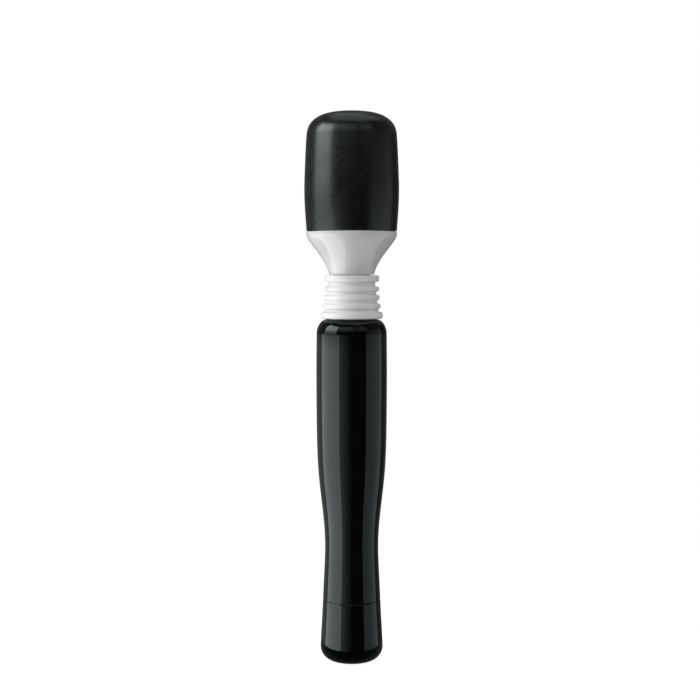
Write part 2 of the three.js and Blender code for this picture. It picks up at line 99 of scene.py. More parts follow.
def smooth(keys, steps):
    """Points of the natural cubic spline r(z) through an outline's key points."""
    r, z = np.array(keys, float).T
    h = np.diff(z)
    system, right = np.eye(len(z)), np.zeros(len(z))
    for i in range(1, len(z) - 1):
        system[i, i - 1 : i + 2] = h[i - 1], 2 * (h[i - 1] + h[i]), h[i]
        right[i] = 6 * ((r[i + 1] - r[i]) / h[i] - (r[i] - r[i - 1]) / h[i - 1])
    bend = np.linalg.solve(system, right)
    points = []
    for at in np.linspace(z[0], z[-1], steps + 1):
        i = int(np.clip(np.searchsorted(z, at) - 1, 0, len(h) - 1))
        below, above = at - z[i], z[i + 1] - at
        cubic = (bend[i] * above**3 + bend[i + 1] * below**3) / (6 * h[i])
        low = (r[i] / h[i] - bend[i] * h[i] / 6) * above
        high = (r[i + 1] / h[i] - bend[i + 1] * h[i] / 6) * below
        points.append((cubic + low + high, at))
    return points


def rounded(corners, steps=6):
    """An outline's points, with its corners rounded where they are given as (radius, height, fillet)."""
    points = []
    for i, (r, z, *fillet) in enumerate(corners):
        if not fillet:
            points.append((r, z))
            continue
        here = Vector((r, z))
        back = (Vector(corners[i - 1][:2]) - here).normalized()
        on = (Vector(corners[(i + 1) % len(corners)][:2]) - here).normalized()
        half = back.angle(on) / 2
        centre = here + (back + on).normalized() * fillet[0] / math.sin(half)
        first = here + back * fillet[0] / math.tan(half) - centre
        last = here + on * fillet[0] / math.tan(half) - centre
        sweep = first.angle(last)
        for k in range(steps + 1):
            t = k / steps
            share = first * math.sin((1 - t) * sweep) + last * math.sin(t * sweep)
            points.append(tuple(centre + share / math.sin(sweep)))
    return points


# ---------------------------------------------------------------- meshes

ON_AXIS = 1e-6  # a smaller radius than this is a point on the axis


def finished(name, solid):
    """An object from a bmesh, shaded smooth except at its creases. The bmesh is used up."""
    bmesh.ops.recalc_face_normals(solid, faces=solid.faces)
    mesh = bpy.data.meshes.new(name)
    solid.to_mesh(mesh)
    solid.free()
    mesh.shade_smooth()
    mesh.set_sharp_from_angle(angle=CREASE)
    piece = bpy.data.objects.new(name, mesh)
    bpy.context.scene.collection.objects.link(piece)
    return piece


def turned(name, outline, sides=OUTER_SIDES):
    """A turned solid. Its outline starts and ends on the axis, or closes on itself."""
    solid = bmesh.new()
    rings = []
    for r, z in outline:
        around = sides if r > ON_AXIS else 1
        turns = [2 * math.pi * k / around for k in range(around)]
        corners = [(r * math.cos(t) * MM, r * math.sin(t) * MM, z * MM) for t in turns]
        rings.append([solid.verts.new(corner) for corner in corners])
    for low, high in zip(rings, rings[1:] + rings[:1]):
        if len(low) == len(high) == 1:
            continue
        for k in range(sides):
            n = k + 1
            quad = [low[k % len(low)], low[n % len(low)], high[n % len(high)], high[k % len(high)]]
            solid.faces.new(list(dict.fromkeys(quad)))  # a triangle where one ring is a point
    return finished(name, solid)


def slab(name, low, high, fillet):
    """A block with softened edges, from its lowest to its highest corner in millimetres."""
    solid = bmesh.new()
    bmesh.ops.create_cube(solid, size=1)
    for vert in solid.verts:
        vert.co = [(a + (c + 0.5) * (b - a)) * MM for c, a, b in zip(vert.co, low, high)]
    bmesh.ops.bevel(
        solid, geom=solid.edges[:], offset=fillet * MM, segments=3, profile=0.5, affect="EDGES"
    )
    return finished(name, solid)


def wire(name, route, radius, sides=16, steps=40):
    """A round wire along a smooth route through points that rise in turn, with level sections."""
    x, y, z = np.array(route, float).T
    heights = np.linspace(z[0], z[-1], steps + 1)
    centres_x = [at for at, _ in smooth(list(zip(x, z)), steps)]
    centres_y = [at for at, _ in smooth(list(zip(y, z)), steps)]
    solid = bmesh.new()
    rings = []
    for cx, cy, cz in zip(centres_x, centres_y, heights):
        turns = [2 * math.pi * k / sides for k in range(sides)]
        spots = [(cx + radius * math.cos(t), cy + radius * math.sin(t), cz) for t in turns]
        rings.append([solid.verts.new([c * MM for c in spot]) for spot in spots])
    for low, high in zip(rings, rings[1:]):
        for k in range(sides):
            n = (k + 1) % sides
            solid.faces.new([low[k], low[n], high[n], high[k]])
    solid.faces.new(rings[0])
    solid.faces.new(rings[-1])
    return finished(name, solid)


def combined(piece, tool, operation):
    """The piece after a boolean operation with a tool. The tool is used up."""
    change = piece.modifiers.new("shape", "BOOLEAN")
    change.operation = operation
    change.solver = "EXACT"
    change.object = tool
    bpy.context.view_layer.update()
    result = piece.evaluated_get(bpy.context.evaluated_depsgraph_get())
    shaped = bpy.data.meshes.new_from_object(result)
    piece.modifiers.clear()
    piece.data = shaped
    shaped.set_sharp_from_angle(angle=CREASE)
    bpy.data.objects.remove(tool)
    return piece


# ---------------------------------------------------------------- materials

FADE = (0.3, 0.7)  # the part of a noise pattern's range that a finish uses
SHEEN_PATCH = 2.3  # how much smaller the patches of roughness are than those of colour
WORN = (0.52, 0.62)  # the pointiness at which wear starts and is complete
WORN_PALER = 0.25  # how far towards white a fully worn corner goes


def set_range(span, given, wanted):
    """Sets the two ranges that a Map Range node maps one to the other."""
    for socket, value in zip(("From Min", "From Max", "To Min", "To Max"), (*given, *wanted)):
        span.inputs[socket].default_value = value


def surface(
    name,
    colour,
    roughness,
    *,
    metallic=0.0,
    specular=0.5,
    tint=(1, 1, 1),
    mottle=0.12,
    patch=90,
    grain=900,
    depth=0.004,
    wave=0.0,
    stretch=(1, 1, 1),
    wear=0.0,
):
    """A procedural finish.

    specular and tint are the strength and the colour of its gloss. mottle is the share by which the
    colour and the roughness vary, and patch how many of their patches a metre holds. grain is the same
    for the fine bumps, and depth their height in millimetres. wave is the height of a slow ripple under
    them, stretch scales the patterns along each axis, and wear is how strongly the corners are rubbed
    paler.
    """
    material = bpy.data.materials.new(name)
    material.use_nodes = True
    nodes, links = material.node_tree.nodes, material.node_tree.links
    shader = nodes["Principled BSDF"]
    shader.inputs["Metallic"].default_value = metallic
    shader.inputs["Specular IOR Level"].default_value = specular
    shader.inputs["Specular Tint"].default_value = (*tint, 1)

    place = nodes.new("ShaderNodeTexCoord").outputs["Object"]
    scaled = nodes.new("ShaderNodeMapping")
    scaled.inputs["Scale"].default_value = stretch
    links.new(place, scaled.inputs["Vector"])

    def noise(scale, detail):
        """A cloudy pattern."""
        pattern = nodes.new("ShaderNodeTexNoise")
        pattern.inputs["Scale"].default_value = scale
        pattern.inputs["Detail"].default_value = detail
        links.new(scaled.outputs["Vector"], pattern.inputs["Vector"])
        return pattern.outputs["Fac"]

    def spread(source, low, high, used=FADE):
        """A pattern whose used part is spread over a new range."""
        span = nodes.new("ShaderNodeMapRange")
        set_range(span, used, (low, high))
        links.new(source, span.inputs["Value"])
        return span.outputs["Result"]

    def mixed(share, first, second):
        """A mixture of two colours. Each is a tuple or another node's output."""
        mix = nodes.new("ShaderNodeMix")
        mix.data_type = "RGBA"
        links.new(share, mix.inputs["Factor"])
        for socket, value in (("A", first), ("B", second)):
            target = [s for s in mix.inputs if s.name == socket and s.type == "RGBA"][0]
            if isinstance(value, tuple):
                target.default_value = (*value, 1)
            else:
                links.new(value, target)
        return [s for s in mix.outputs if s.type == "RGBA"][0]

    darker = tuple(c * (1 - mottle) for c in colour)
    paler = tuple(min(c * (1 + mottle), 1) for c in colour)
    cloud = noise(patch, 3)
    tone = mixed(spread(cloud, 0, 1), darker, paler)
    if wear:
        corners = nodes.new("ShaderNodeNewGeometry").outputs["Pointiness"]
        rubbed = spread(corners, 0, wear, WORN)
        tone = mixed(rubbed, tone, tuple(c + WORN_PALER * (1 - c) for c in colour))
    links.new(tone, shader.inputs["Base Color"])
    sheen = spread(noise(patch * SHEEN_PATCH, 5), roughness * (1 - mottle), roughness * (1 + mottle))
    links.new(sheen, shader.inputs["Roughness"])

    bump = nodes.new("ShaderNodeBump")
    bump.inputs["Distance"].default_value = depth * MM
    links.new(noise(grain, 4), bump.inputs["Height"])
    if wave:
        ripple = nodes.new("ShaderNodeBump")
        ripple.inputs["Distance"].default_value = wave * MM
        links.new(cloud, ripple.inputs["Height"])
        links.new(ripple.outputs["Normal"], bump.inputs["Normal"])
    links.new(bump.outputs["Normal"], shader.inputs["Normal"])
    return material


FINISHES = {
    "gloss_black": surface(
        "polished_black", (0.0012, 0.0014, 0.0015), 0.05, tint=(0.85, 1, 0.99),
        mottle=0.2, grain=2600, depth=0.0004, wave=0.004,
    ),
    "gloss_white": surface(
        "polished_white", (0.66, 0.66, 0.656), 0.09, specular=0.8,
        mottle=0.02, patch=120, grain=2200, depth=0.001, wave=0.01,
    ),
    "soft_white": surface(
        "soft_white", (0.8, 0.8, 0.795), 0.36,
        mottle=0.03, patch=200, grain=1800, depth=0.004,
    ),
    "cover_rubber": surface(
        "satin_rubber", (0.0028, 0.0034, 0.0038), 0.27, specular=0.9, tint=(0.9, 1, 1),
        mottle=0.16, patch=260, grain=2400, depth=0.011,
    ),
    "natural_nylon": surface(
        "natural_nylon", (0.68, 0.65, 0.57), 0.5,
        mottle=0.05, patch=160, grain=1500, depth=0.006,
    ),
    "inner_black": surface(
        "satin_black_plastic", (0.022, 0.022, 0.023), 0.42,
        mottle=0.15, patch=180, grain=1700, depth=0.006, wear=0.2,
    ),
    "seal_rubber": surface(
        "seal_rubber", (0.016, 0.016, 0.016), 0.62,
        mottle=0.2, patch=300, grain=2000, depth=0.008,
    ),
    "brass_contact": surface(
        "stamped_brass", (0.74, 0.5, 0.19), 0.3, metallic=1,
        mottle=0.16, patch=260, grain=1600, depth=0.002, stretch=(1, 1, 0.08), wear=0.3,
    ),
    "weight_brass": surface(
        "turned_brass", (0.68, 0.47, 0.2), 0.34, metallic=1,
        mottle=0.14, patch=240, grain=1400, depth=0.003, stretch=(0.1, 0.1, 2), wear=0.3,
    ),
    "spring_steel": surface(
        "nickel_wire", (0.58, 0.58, 0.57), 0.24, metallic=1,
        mottle=0.12, patch=300, grain=1800, depth=0.002,
    ),
    "steel_screw": surface(
        "zinc_plate", (0.52, 0.53, 0.54), 0.34, metallic=1,
        mottle=0.16, patch=320, grain=1700, depth=0.003, wear=0.3,
    ),
    "motor_steel": surface(
        "plated_sheet", (0.52, 0.53, 0.54), 0.3, metallic=1,
        mottle=0.12, patch=200, grain=1500, depth=0.002, stretch=(1, 1, 0.1), wear=0.2,
    ),
    "magnet_ferrite": surface(
        "sintered_ferrite", (0.045, 0.045, 0.05), 0.6,
        mottle=0.25, patch=400, grain=1300, depth=0.012,
    ),
    "board_green": surface(
        "green_board", (0.025, 0.14, 0.07), 0.34,
        mottle=0.12, patch=220, grain=1500, depth=0.003,
    ),
    "cell_jacket": surface(
        "wrapped_cell", (0.09, 0.12, 0.15), 0.26, metallic=0.6,
        mottle=0.1, patch=110, grain=1200, depth=0.003, stretch=(1, 1, 0.3),
    ),
    "lead_red": surface(
        "red_insulation", (0.46, 0.02, 0.02), 0.42,
        mottle=0.08, patch=220, grain=1500, depth=0.004,
    ),
}


def dressed(piece, slot):
    """Gives a new piece the finish of one of the record's slots."""
    piece.data.materials.clear()
    piece.data.materials.append(FINISHES[slot])
    return piece


slots = {row["node"]: row["material_slot"] for row in frame["record"]["subparts"]}
for node, solid in frame["nodes"].items():
    solid.data.materials.clear()
    solid.data.materials.append(FINISHES[slots[node]])
    solid.data.shade_smooth()
    solid.data.set_sharp_from_angle(angle=CAD_CREASE)


# ---------------------------------------------------------------- camera

EYE = (-0.64, -528.6, 147)  # in front of the wand and a little over its neck, in millimetres
LOOKING_DOWN = 3.1  # degrees under the level


def set_camera():
    lens = bpy.data.cameras.new("camera")
    lens.lens = 72
    lens.sensor_width = 36
    camera = bpy.data.objects.new("camera", lens)
    camera.location = [c * MM for c in EYE]
    camera.rotation_euler = (math.radians(90 - LOOKING_DOWN), 0, 0)
    bpy.context.scene.collection.objects.link(camera)
    bpy.context.scene.camera = camera


set_camera()


# ---------------------------------------------------------------- dial

FOOT_RADIUS = radius("dial_cap")
FOOT_CORNER = 5.4
DIAL_TOP = top("dial_cap") - 0.25
SEAM = 0.15  # the gap that shows between the dial and the handle, which is wider in the CAD
HANDLE_BOTTOM = DIAL_TOP + SEAM
SOCKET = 9.4  # radius of the hollow that takes the plug, in the dial and in the handle
DIAL_FLOOR = 2.2
POST = 3.6  # radius of the post in the dial's middle
POST_SHOULDER = 6.2
POST_TOP = 8.4
STEP = 1.2  # the post is narrower by this over its shoulder
SCREW_HOLE = (1.4, 3.6)  # radius and lowest height


def dial_cap():
    """The foot that is twisted: a cup with a stepped post in its middle for the pivot screw."""
    foot = arc(FOOT_RADIUS - FOOT_CORNER, FOOT_CORNER, FOOT_CORNER, FOOT_CORNER, -90, 0, 18)
    side = smooth(
        [(FOOT_RADIUS, FOOT_CORNER), (11.71, 9.4), (11.45, 14), (11.2, 18.5), (10.98, DIAL_TOP - 0.65)], 24
    )
    inside = [
        (10.7, DIAL_TOP, 0.1),
        (SOCKET, DIAL_TOP, 0.2),
        (SOCKET, 2 * DIAL_FLOOR, 1.5),
        (SOCKET - DIAL_FLOOR, DIAL_FLOOR, 0.6),
        (POST, DIAL_FLOOR, 0.4),
        (POST, POST_SHOULDER, 0.1),
        (POST - STEP, POST_SHOULDER),
        (POST - STEP, POST_TOP, 0.15),
        (SCREW_HOLE[0], POST_TOP),
        SCREW_HOLE,
        (0, SCREW_HOLE[1]),
    ]
    return turned("dial_cap_moulding", rounded([(0, 0), *foot[:-1], *side, *inside]))


dial = dressed(dial_cap(), "gloss_black")
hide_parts("dial_cap")
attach(dial, "dial")


# ---------------------------------------------------------------- plug and cells

GAP = 0.3  # air between two pieces that touch on the real wand
PLUG = SOCKET - GAP
PLUG_BOTTOM = bottom("battery_plug")
PLUG_FLOOR = 11  # where the spring stands
PLUG_TOP = top("battery_plug")
PIVOT_BORE = 1.5
GROOVE = 8.35  # inner radius of the seal's groove
GROOVE_HALF = 0.6
SEAL = 27.6  # height of the seal's middle
SEAL_RADIUS = 8.88
SEAL_THICKNESS = 0.75
KEY = (9.5, 1.5, 25.8)  # how far out the plug's key stands, half its width, and its top
CELL_RADIUS = radius("battery_lower")
CELL_LENGTH = top("battery_lower") - bottom("battery_lower")
BAY = CELL_RADIUS + 0.4
CONTACT = (7.6, 8.9)  # inner and outer radius of the contact ring
LEAD_HALF = 1.2  # half the width of its lead
FOLD = 6.2  # radius that a cell's sleeve is folded in to
SLEEVE = 0.15


def battery_plug():
    """The keyed cup, with a groove for the seal and a slot for the contact ring's lead."""
    outline = [
        (PIVOT_BORE, PLUG_BOTTOM),
        (PLUG, PLUG_BOTTOM, 0.4),
        (PLUG, SEAL - GROOVE_HALF, 0.1),
        (GROOVE, SEAL - GROOVE_HALF),
        (GROOVE, SEAL + GROOVE_HALF),
        (PLUG, SEAL + GROOVE_HALF, 0.1),
        (PLUG, PLUG_TOP, 0.35),
        (BAY, PLUG_TOP, 0.2),
        (BAY, PLUG_FLOOR, 0.5),
        (PIVOT_BORE, PLUG_FLOOR),
    ]
    cup = turned("plug_cup", rounded(outline))
    reach, half, key_top = KEY
    key = slab("key", (-reach, -half, key_top - 1.5), (-8.6, half, key_top), 0.15)
    combined(cup, key, "UNION")
    slot_half = LEAD_HALF + 0.2
    slot = slab("slot", (7, -slot_half, PLUG_BOTTOM - 1), (8.05, slot_half, PLUG_TOP + 1.4), 0.05)
    return combined(cup, slot, "DIFFERENCE")


def seal_ring():
    """A rubber ring of round section. Its arc stops a step short, because the outline closes itself."""
    half = SEAL_THICKNESS / 2
    return turned("plug_seal", arc(SEAL_RADIUS, SEAL, half, half, 0, 345, 23))


def contact_ring():
    """The brass ring on the plug's rim, with its lead down the cup's slot."""
    inner, outer = CONTACT
    low, high = PLUG_TOP + GAP, PLUG_TOP + 0.9
    outline = [(inner, low, 0.08), (outer, low, 0.08), (outer, high, 0.15), (inner, high, 0.15)]
    ring = turned("plug_contact", rounded(outline))
    foot = bottom("plug_contact_ring")
    lead = slab("lead", (inner, -LEAD_HALF, foot), (inner + 0.25, LEAD_HALF, low + 0.3), 0.05)
    return combined(ring, lead, "UNION")


def cell_can(name, foot):
    """A dry cell's steel can: a ringed negative end below and the button above."""
    head = foot + CELL_LENGTH
    outline = [
        (0, foot),
        (4.5, foot, 0.3),
        (5, foot + 0.35, 0.2),
        (6.5, foot + 0.35, 0.2),
        (7, foot + 0.9, 0.4),
        (7, head - 1.2, 0.5),
        (6, head - 0.95, 0.2),
        (3.1, head - 1.05, 0.2),
        (2.75, head, 0.3),
        (0, head),
    ]
    return turned(name, rounded(outline), INNER_SIDES)


def cell_jacket(name, foot):
    """The plain sleeve that is shrunk over the can and folded over both ends."""
    low, high = foot + 0.4, foot + CELL_LENGTH - 0.85
    outline = [
        (FOLD, low - 0.05),
        (CELL_RADIUS, low, 0.5),
        (CELL_RADIUS, high, 0.5),
        (FOLD, high + 0.05),
        (FOLD, high - 0.1),
        (CELL_RADIUS - SLEEVE, high - SLEEVE, 0.4),
        (CELL_RADIUS - SLEEVE, low + SLEEVE, 0.4),
        (FOLD, low + 0.1),
    ]
    return turned(name, rounded(outline), INNER_SIDES)


plug = dressed(battery_plug(), "inner_black")
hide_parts("battery_plug")
seal = dressed(seal_ring(), "seal_rubber")
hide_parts("plug_seal_ring")
contact = dressed(contact_ring(), "brass_contact")
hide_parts("plug_contact_ring")
cells = []
for node in ("battery_lower", "battery_upper"):
    jacket = dressed(cell_jacket(node + "_jacket", bottom(node)), "cell_jacket")
    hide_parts(node)
    cells += [jacket, dressed(cell_can(node + "_can", bottom(node)), "motor_steel")]
for piece in (plug, seal, contact, *cells):
    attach(piece, "plug")


# ---------------------------------------------------------------- handle

HANDLE_TOP = top("handle_shell")
SHOULDER = 124.4  # where the handle's side turns in
SOCKET_TOP = 31.6
BAY_TOP = 124.6
CEILING_TOP = 125.8  # the bay's ceiling is also the floor of the neck's mouth
LEAD_HOLE = 6.6
MOUTH = 9.2
CLASP = (127.8, 10.6)  # top and radius of the groove that holds the neck's flange
STRIP_SLOT = (8.65, 2.3)  # reach and half width of the slot that the return strip lies in


def handle_shell():
    """The waisted tube, with the plug's socket below, the cells' bay, and the neck's mouth above."""
    side = smooth(
        [
            (10.94, HANDLE_BOTTOM + 0.2),
            (10.43, 34.2),
            (10.12, 44),
            (10.6, 53.4),
            (11.45, 61.2),
            (12.31, 68.8),
            (12.95, 78),
            (13.25, 90),
            (13.37, 106),
            (13.32, 119),
            (13.25, SHOULDER),
        ],
        110,
    )
    shoulder = arc(9.4, SHOULDER, 3.85, HANDLE_TOP - SHOULDER, 0, 90, 24)[1:]
    clasp_top, clasp = CLASP
    inside = [
        (MOUTH, HANDLE_TOP, 0.12),
        (MOUTH, clasp_top),
        (clasp, clasp_top),
        (clasp, CEILING_TOP),
        (LEAD_HOLE, CEILING_TOP),
        (LEAD_HOLE, BAY_TOP),
        (BAY, BAY_TOP),
        (BAY, SOCKET_TOP),
        (SOCKET, SOCKET_TOP),
        (SOCKET, HANDLE_BOTTOM, 0.2),
        (10.95, HANDLE_BOTTOM, 0.1),
    ]
    shell = turned("handle_moulding", rounded([*side, *shoulder, *inside]))
    strip_reach, strip_half = STRIP_SLOT
    slot = slab("slot", (6.9, -strip_half, SOCKET_TOP - 0.6), (strip_reach, strip_half, BAY_TOP), 0.05)
    combined(shell, slot, "DIFFERENCE")
    reach, half, key_top = (size + GAP for size in KEY)
    keyway = slab("keyway", (-reach, -half, HANDLE_BOTTOM - 0.6), (-9, half, key_top), 0.05)
    return combined(shell, keyway, "DIFFERENCE")


handle = dressed(handle_shell(), "gloss_black")
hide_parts("handle_shell")
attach(handle, "handle")


# ---------------------------------------------------------------- bellows

RIBS = [  # the underside, top and radius of each
    (130.25, 132.8, 11.75),
    (133.9, 136.0, 10.9),
    (137.2, 139.2, 10.55),
    (140.5, 142.4, 10.4),
    (144.1, 146.6, 10.35),
]
WEBS = [10.1, 9.7, 9.35, 8.9]  # radii of the walls between the ribs
BORE = 7.5
RIM = 0.85  # fillet of a rib's edge
ROOT = 0.25  # fillet at its root
NECK_MIDDLE = (bottom("bellows_middle") + top("bellows_middle")) / 2
TUCK = 0.3  # how far from the neck's middle each half ends, inside the middle rib
LOWER_BEND = (130.6, NECK_MIDDLE)  # the spans of height of the two halves, from the end ribs to the neck's middle
UPPER_BEND = (NECK_MIDDLE, 146.6)
FLANGE = (bottom("bellows_lower"), 127.5, 10.3)  # underside, top and radius of what the handle grips
HOOK = (150.6, top("bellows_upper"), 8)  # the same of the flange behind the cone's ledge
NECK = 8.9  # radius of the wall between the flange and the first rib
STEM = 6.9  # radius of the wall between the last rib and the hook
THROAT = 5.6  # their bore


def rib(i):
    """A rib's two rim corners, from its underside up."""
    low, high, rim = RIBS[i]
    return [(rim, low, RIM), (rim, high, RIM)]


def web(i):
    """The wall from one rib up to the next."""
    return [(WEBS[i], RIBS[i][1], ROOT), (WEBS[i], RIBS[i + 1][0], ROOT)]


def bellows_lower():
    """From the flange that the handle grips to inside the middle rib."""
    low, high, rim = FLANGE
    flange = [(BORE, low), (rim, low, 0.2), (rim, high, 0.2), (NECK, high), (NECK, RIBS[0][0], 0.2)]
    end = NECK_MIDDLE - TUCK
    tucked = [(WEBS[1], RIBS[1][1], ROOT), (WEBS[1], end), (BORE, end)]
    return turned("bellows_lower_skin", rounded([*flange, *rib(0), *web(0), *rib(1), *tucked]))


def bellows_middle():
    """The middle rib, a plain ring over the ends of both halves."""
    low, high, _ = RIBS[2]
    return turned("bellows_middle_rib", rounded([(BORE, low), *rib(2), (BORE, high)], 10))


def bellows_upper():
    """From inside the middle rib to the flange that hooks behind the cone's ledge."""
    end = NECK_MIDDLE + TUCK
    tucked = [(BORE, end), (WEBS[2], end), (WEBS[2], RIBS[3][0], ROOT)]
    low, high, rim = HOOK
    last_rib_top = RIBS[4][1]
    hook = [(STEM, last_rib_top, 0.05), (STEM, low), (rim, low, 0.2), (rim, high, 0.2), (THROAT, high)]
    bore = [(THROAT, last_rib_top - 0.5), (BORE, last_rib_top - 0.5)]
    return turned("bellows_upper_skin", rounded([*tucked, *rib(3), *web(3), *rib(4), *hook, *bore]))


lower = dressed(bellows_lower(), "soft_white")
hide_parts("bellows_lower")
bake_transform(lower)
middle = dressed(bellows_middle(), "soft_white")
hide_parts("bellows_middle")
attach(middle, "neck_middle")
upper = dressed(bellows_upper(), "soft_white")
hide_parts("bellows_upper")
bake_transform(upper)


# ---------------------------------------------------------------- motor leads

LEAD_RADIUS = 0.6


def motor_lead(node, slot, side, start):
    """One lead in two halves, which meet at the middle rib. side is -1 to the left and 1 to the right."""
    middle = (side * 1.2, -0.5 * side, NECK_MIDDLE)
    below = [start, (side * 1.6, 0.4 * side, 131.8), middle]
    above = [middle, (side * 1.8, 0.4 * side, 146.8), (side * 4, 0, 153.3), (side * 4, 0, 157.6)]
    for name, route, bodies, bend in (
        ("_below", below, ("handle", "neck_middle"), LOWER_BEND),
        ("_above", above, ("neck_middle", "head"), UPPER_BEND),
    ):
        half = dressed(wire(node + name, route, LEAD_RADIUS), slot)
        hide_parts(node)
        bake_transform(half)


motor_lead("motor_lead_red", "lead_red", -1, (0, 0, 125.5))
motor_lead("motor_lead_black", "inner_black", 1, (4.6, 0, 124.5))


# ---------------------------------------------------------------- head

CONE_FOOT = bottom("neck_cone")
LEDGE = (7.2, 150.3)  # radius and top of the ledge that holds the neck's hook
FUNNEL = 8.3  # radius of the hollow over the ledge
SHELF = (10.6, 160.1)  # radius of the opening for the motor, and height of the shelf round it
RIM_TURN = (16.35, 160)  # where the cone's flare turns up into its lip
LIP = radius("neck_cone")
LIP_BORE = 15
LIP_TOP = top("neck_cone")

COVER_BOTTOM = bottom("head_cover")
COVER_TOP = top("head_cover")
COVER_TURN = (17.05, 198)  # where the cover's side starts to turn in
COVER_BORE = 15.7
COVER_CEILING = 204.6
COVER_CORNER = 6  # radius of the bore's round corner
CROWN_FALL = 0.000568  # the crown falls by this times the radius to the power below
CROWN_POWER = 3.2


def neck_cone():
    """The flared collar, with a ledge inside for the neck and a shelf for the motor."""
    flare = smooth(
        [(8.5, 147), (8.95, 148.6), (10, 150.9), (11.85, 153.9), (14.1, 156.9), (15.6, 158.9), RIM_TURN], 60
    )
    lip = smooth([RIM_TURN, (16.85, 161), (17.03, 162), (LIP, LIP_TOP - 0.2)], 12)[1:]
    inside = [
        (LIP, LIP_TOP, 0.15),
        (LIP_BORE, LIP_TOP),
        (LIP_BORE, SHELF[1]),
        SHELF,
        (SHELF[0], 156.8),
        (FUNNEL, 152.2),
        (FUNNEL, LEDGE[1]),
        LEDGE,
        (LEDGE[0], CONE_FOOT),
        (8.48, CONE_FOOT, 0.1),
    ]
    return turned("neck_cone_moulding", rounded([*flare, *lip, *inside]))


def head_cover():
    """The soft cap: a barrel with a broad round edge and a nearly flat crown."""
    barrel = smooth(
        [
            (17.03, COVER_BOTTOM + 0.2),
            (17.31, 167.1),
            (17.75, 174.6),
            (17.83, 178.4),
            (17.64, 185.8),
            (17.33, 193.3),
            COVER_TURN,
        ],
        60,
    )
    shoulder = smooth(
        [COVER_TURN, (16.92, 199.6), (16.38, 201.8), (15, 204), (13.75, 205.1), (12.2, 206.1)], 30
    )
    radii = (11.5, 10.5, 9.5, 8.5, 7.5, 6, 4.5, 3, 1.5, 0)
    crown = [(r, COVER_TOP - CROWN_FALL * r**CROWN_POWER) for r in radii]
    turn = COVER_CORNER
    corner = arc(COVER_BORE - turn, COVER_CEILING - turn, turn, turn, 90, 0, 8)
    inside = [(0, COVER_CEILING), *corner, (COVER_BORE, COVER_BOTTOM), (17.02, COVER_BOTTOM, 0.15)]
    return turned("head_cover_skin", rounded([*barrel, *shoulder[1:], *crown, *inside]))


cone = dressed(neck_cone(), "gloss_white")
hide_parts("neck_cone")
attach(cone, "head")
cover = dressed(head_cover(), "cover_rubber")
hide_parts("head_cover")
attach(cover, "head")


# ---------------------------------------------------------------- floor and light, in metres

FLOOR_RADIUS = 0.6
FLOOR_DROP = 0.0002  # keeps the floor just clear of the foot
NEAR_FLOOR = 0.02  # from here the floor's paint fades into plain white
FAR_FLOOR = 0.16  # and from here it is all white
NEAR_GLOW = 0.92  # the paint's own light, which keeps it pale
FILL = 0.38  # how brightly the surroundings light the surfaces
ROOM = (0.012, 0.13)  # how bright they are in reflections, in front of the wand and behind it
ROOM_SPAN = (-0.5, 0.9)  # the change's start and end, where -1 is straight in front and 1 behind


def backdrop():
    """A pale floor, which brightens with distance until it meets the white surroundings."""
    solid = bmesh.new()
    bmesh.ops.create_circle(solid, cap_ends=True, segments=96, radius=FLOOR_RADIUS)
    floor = finished("floor", solid)
    floor.location.z = -FLOOR_DROP
    floor.visible_glossy = False
    floor.visible_diffuse = False
    floor.visible_shadow = False
    paint = bpy.data.materials.new("pale_floor")
    paint.use_nodes = True
    nodes, links = paint.node_tree.nodes, paint.node_tree.links
    nodes.clear()
    reach = nodes.new("ShaderNodeVectorMath")
    reach.operation = "LENGTH"
    links.new(nodes.new("ShaderNodeTexCoord").outputs["Object"], reach.inputs[0])
    share = nodes.new("ShaderNodeMapRange")
    share.interpolation_type = "SMOOTHSTEP"
    set_range(share, (NEAR_FLOOR, FAR_FLOOR), (0, 1))
    links.new(reach.outputs["Value"], share.inputs["Value"])
    near = nodes.new("ShaderNodeBsdfPrincipled")
    near.inputs["Base Color"].default_value = (0.5, 0.5, 0.5, 1)
    near.inputs["Roughness"].default_value = 0.9
    near.inputs["Emission Color"].default_value = (1, 1, 1, 1)
    near.inputs["Emission Strength"].default_value = NEAR_GLOW
    far = nodes.new("ShaderNodeEmission")
    mix = nodes.new("ShaderNodeMixShader")
    links.new(share.outputs["Result"], mix.inputs[0])
    links.new(near.outputs[0], mix.inputs[1])
    links.new(far.outputs[0], mix.inputs[2])
    links.new(mix.outputs[0], nodes.new("ShaderNodeOutputMaterial").inputs[0])
    floor.data.materials.append(paint)


def surroundings():
    """White for the eye, dimmer light for the surfaces, and a dark room for their reflections."""
    world = bpy.data.worlds.new("studio")
    world.use_nodes = True
    bpy.context.scene.world = world
    nodes, links = world.node_tree.nodes, world.node_tree.links
    split = nodes.new("ShaderNodeSeparateXYZ")
    links.new(nodes.new("ShaderNodeTexCoord").outputs["Generated"], split.inputs["Vector"])
    room = nodes.new("ShaderNodeMapRange")
    set_range(room, ROOM_SPAN, ROOM)
    links.new(split.outputs["Y"], room.inputs["Value"])
    rays = nodes.new("ShaderNodeLightPath")
    seen = nodes.new("ShaderNodeMix")
    seen.inputs["A"].default_value = FILL
    links.new(rays.outputs["Is Glossy Ray"], seen.inputs["Factor"])
    links.new(room.outputs["Result"], seen.inputs["B"])
    strength = nodes.new("ShaderNodeMix")
    strength.inputs["B"].default_value = 1
    links.new(rays.outputs["Is Camera Ray"], strength.inputs["Factor"])
    links.new(seen.outputs["Result"], strength.inputs["A"])
    nodes["Background"].inputs["Color"].default_value = (1, 1, 1, 1)
    links.new(strength.outputs["Result"], nodes["Background"].inputs["Strength"])


MIRROR = 0.0115  # the dial's radius halfway up
SCREEN_STEP = 4  # degrees between a screen's uprights


